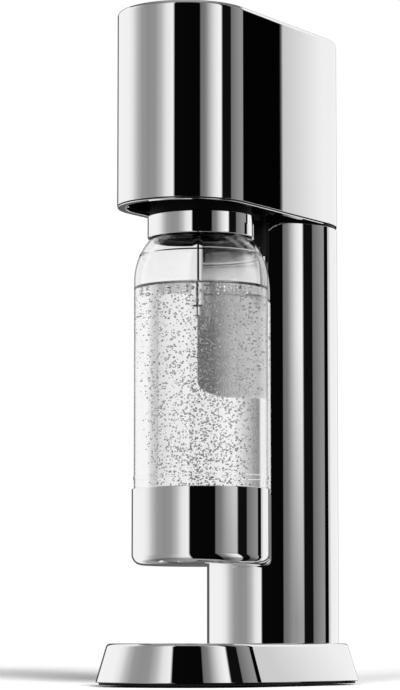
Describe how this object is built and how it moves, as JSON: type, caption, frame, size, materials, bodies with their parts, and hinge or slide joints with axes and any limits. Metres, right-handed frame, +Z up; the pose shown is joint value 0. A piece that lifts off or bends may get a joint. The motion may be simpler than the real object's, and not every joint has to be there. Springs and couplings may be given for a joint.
{
  "type": "sparkling water maker",
  "caption": "Free-standing sparkling water maker: round column on a flared base, oblong overhanging head, hanging bottle on a tilting carrier, gas button on top.",
  "frame": {"origin": "on the table under the middle of the base", "axes": "+Z up, front towards -Y, +X to the right seen from the front"},
  "size_m": [0.1158, 0.2304, 0.4419],
  "materials": {
    "polished_steel": "mirror polished stainless steel",
    "satin_steel": "satin steel",
    "steel_parts": "plain steel",
    "black_plastic": "moulded black",
    "gloss_black": "gloss black",
    "grey_plastic": "moulded grey",
    "clear_plastic": "clear",
    "rubber": "matt",
    "brass": "turned",
    "aluminium": "drawn"
  },
  "bodies": {
    "frame": {"base_shell": "polished_steel", "base_plate": "black_plastic", "rubber_feet": "rubber", "column_screws": "steel_parts", "column_shell": "polished_steel", "column_liner": "black_plastic", "cylinder_seat": "black_plastic", "gas_cylinder": "aluminium", "cylinder_valve": "brass", "valve_connector": "black_plastic", "lock_pins": "steel_parts", "outlet_fitting": "brass", "gas_hose": "black_plastic", "swivel_fitting": "brass", "head_shell": "polished_steel", "head_trim": "polished_steel", "underside_panel": "gloss_black", "head_chassis": "black_plastic", "panel_screws": "steel_parts", "button_guide": "black_plastic", "button_spring": "steel_parts", "actuator_pin": "steel_parts", "actuator_hanger": "steel_parts", "carrier_bracket": "steel_parts", "tilt_pin": "steel_parts"},
    "button": {"button_cap": "polished_steel", "button_stem": "black_plastic"},
    "actuator": {"actuator_lever": "steel_parts"},
    "gas_pin": {"valve_pin": "steel_parts"},
    "lock": {"lock_lever": "grey_plastic"},
    "cover": {"rear_cover": "polished_steel", "cover_hooks": "black_plastic"},
    "carrier": {"carrier_hub": "black_plastic", "neck_ring": "polished_steel", "snap_ring": "steel_parts", "mouth_seal": "rubber", "carbonation_tube": "polished_steel", "nozzle": "polished_steel", "relief_valve": "brass", "back_rest": "satin_steel"},
    "bottle": {"bottle_body": "clear_plastic", "bottle_cup": "polished_steel"}
  },
  "joints": [
    {"name": "button_press", "type": "slide", "parent": "frame", "child": "button", "axis": [0, 0, -1], "range_m": [0, 0.007], "stiffness_N_per_m": 1500, "springref_m": -0.003, "deforming": ["button_spring"]},
    {"name": "actuator_rock", "type": "hinge", "parent": "frame", "child": "actuator", "pos_m": [0, 0.0833, 0.38621], "axis": [1, 0, 0], "range_deg": [0, 3.4]},
    {"name": "gas_pin_press", "type": "slide", "parent": "frame", "child": "gas_pin", "axis": [0, 0, -1], "range_m": [0, 0.0016]},
    {"name": "lock_lift", "type": "hinge", "parent": "frame", "child": "lock", "pos_m": [0, 0.0573, 0.36111], "axis": [1, 0, 0], "range_deg": [0, 65]},
    {"name": "cover_pull", "type": "slide", "parent": "frame", "child": "cover", "axis": [0, 1, 0], "range_m": [0, 0.06]},
    {"name": "carrier_tilt", "type": "hinge", "parent": "frame", "child": "carrier", "pos_m": [0, -0.0375, 0.3301], "axis": [-1, 0, 0], "range_deg": [0, 15]},
    {"name": "bottle_release", "type": "slide", "parent": "carrier", "child": "bottle", "axis": [0, 0, -1], "range_m": [0, 0.04]}
  ],
  "couplings": [
    {"joint": "actuator_rock", "follows": "button_press", "rad_per_m": 8.2781},
    {"joint": "gas_pin_press", "follows": "button_press", "ratio": 0.21523}
  ]
}
